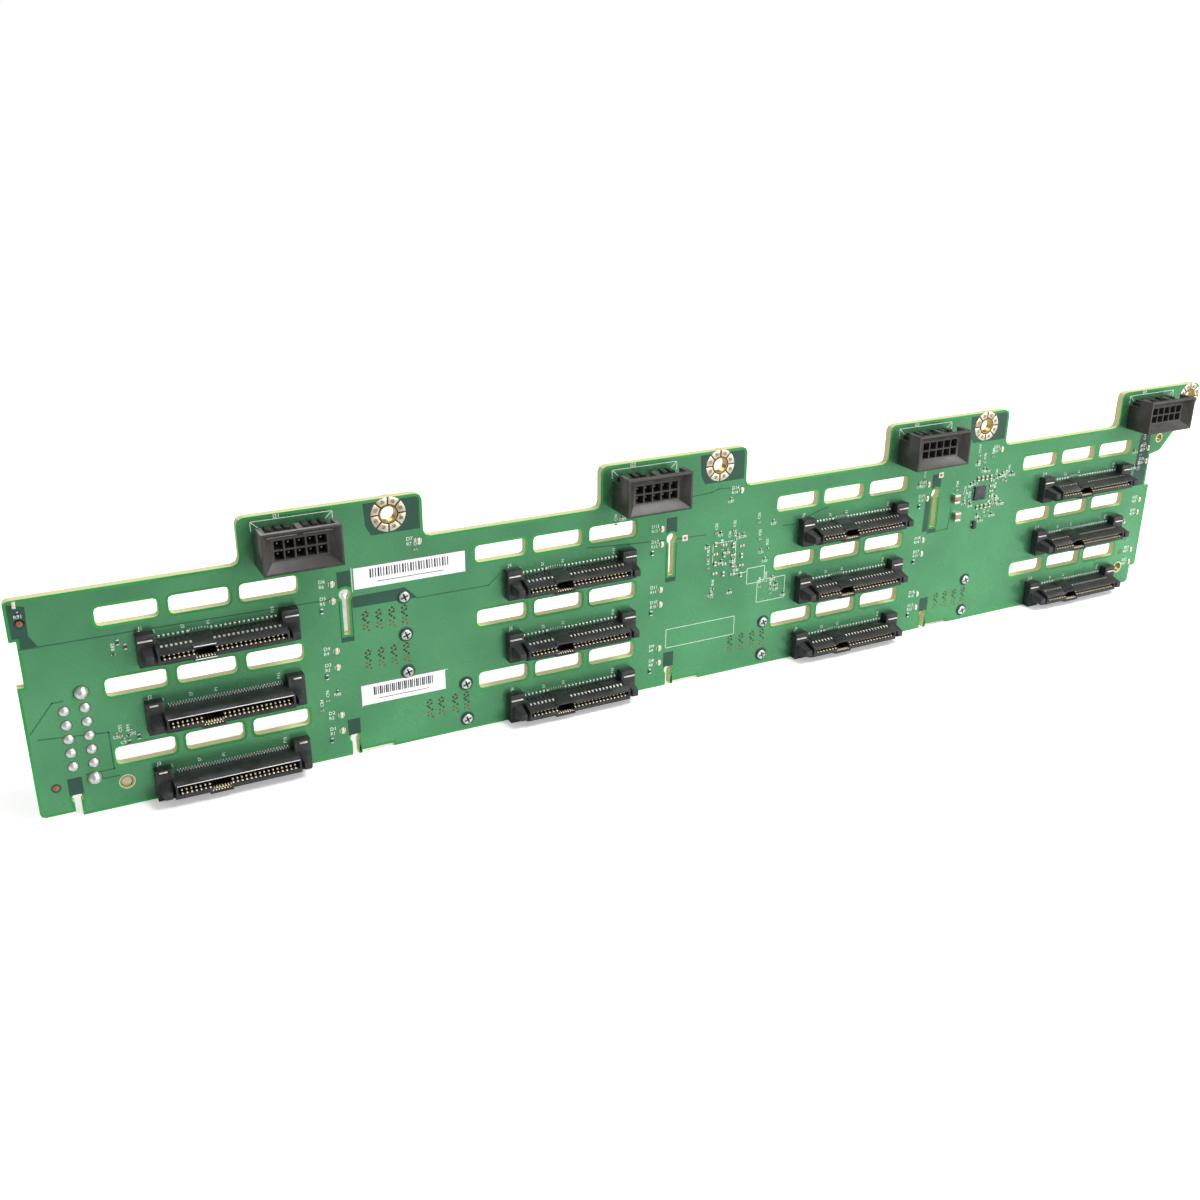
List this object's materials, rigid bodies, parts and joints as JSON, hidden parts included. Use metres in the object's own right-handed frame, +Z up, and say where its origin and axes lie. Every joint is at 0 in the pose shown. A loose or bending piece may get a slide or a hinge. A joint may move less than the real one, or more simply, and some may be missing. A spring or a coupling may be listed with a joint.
{
  "type": "drive backplane board",
  "caption": "Upright circuit board that drives plug into, with slotted openings, keyed drive receptacles, tab power receptacles and cable receptacles behind.",
  "frame": {"origin": "on the board's front face, midway between the screw holes of the first and the last tab", "axes": "+X along the board to the right seen from the front, +Z up towards the tabs, -Y out of the front face towards the drives"},
  "size_m": [0.4287, 0.0276, 0.0789],
  "materials": {
    "board": "satin",
    "tinned_pads": "satin",
    "black_plastic": "matte",
    "charcoal_plastic": "matte",
    "gold_contacts": "polished",
    "tinned_metal": "satin",
    "pressed_shell": "satin",
    "solder": "satin",
    "screw_steel": "satin",
    "lamp_body": "gloss",
    "chip_body": "matte",
    "chip_ceramic": "matte",
    "label_paper": "matte"
  },
  "bodies": {
    "root": {"circuit_board": "board", "hole_pads": "tinned_pads", "locating_peg": "black_plastic", "drive_receptacle_1_1": "black_plastic", "drive_contacts_1_1": "gold_contacts", "drive_receptacle_1_2": "black_plastic", "drive_contacts_1_2": "gold_contacts", "drive_receptacle_1_3": "black_plastic", "drive_contacts_1_3": "gold_contacts", "drive_receptacle_2_1": "black_plastic", "drive_contacts_2_1": "gold_contacts", "drive_receptacle_2_2": "black_plastic", "drive_contacts_2_2": "gold_contacts", "drive_receptacle_2_3": "black_plastic", "drive_contacts_2_3": "gold_contacts", "drive_receptacle_3_1": "black_plastic", "drive_contacts_3_1": "gold_contacts", "drive_receptacle_3_2": "black_plastic", "drive_contacts_3_2": "gold_contacts", "drive_receptacle_3_3": "black_plastic", "drive_contacts_3_3": "gold_contacts", "drive_receptacle_4_1": "black_plastic", "drive_contacts_4_1": "gold_contacts", "drive_receptacle_4_2": "black_plastic", "drive_contacts_4_2": "gold_contacts", "drive_receptacle_4_3": "black_plastic", "drive_contacts_4_3": "gold_contacts", "hold_downs": "tinned_metal", "tab_receptacle_1": "charcoal_plastic", "tab_pins_1": "tinned_metal", "tab_receptacle_2": "charcoal_plastic", "tab_pins_2": "tinned_metal", "tab_receptacle_3": "charcoal_plastic", "tab_pins_3": "tinned_metal", "tab_receptacle_4": "charcoal_plastic", "tab_pins_4": "tinned_metal", "cable_receptacle_upper": "pressed_shell", "cable_tongues_upper": "black_plastic", "cable_receptacle_left": "pressed_shell", "cable_tongues_left": "black_plastic", "cable_receptacle_middle": "pressed_shell", "cable_tongues_middle": "black_plastic", "cable_receptacle_right": "pressed_shell", "cable_tongues_right": "black_plastic", "power_header": "charcoal_plastic", "power_header_pins": "tinned_metal", "power_header_joints": "solder", "screws": "screw_steel", "status_lamps": "lamp_body", "controller_chip": "chip_body", "transistor": "chip_body", "large_capacitors": "chip_ceramic", "chip_capacitors": "chip_ceramic", "chip_resistors": "chip_body", "labels": "label_paper"}
  },
  "joints": []
}
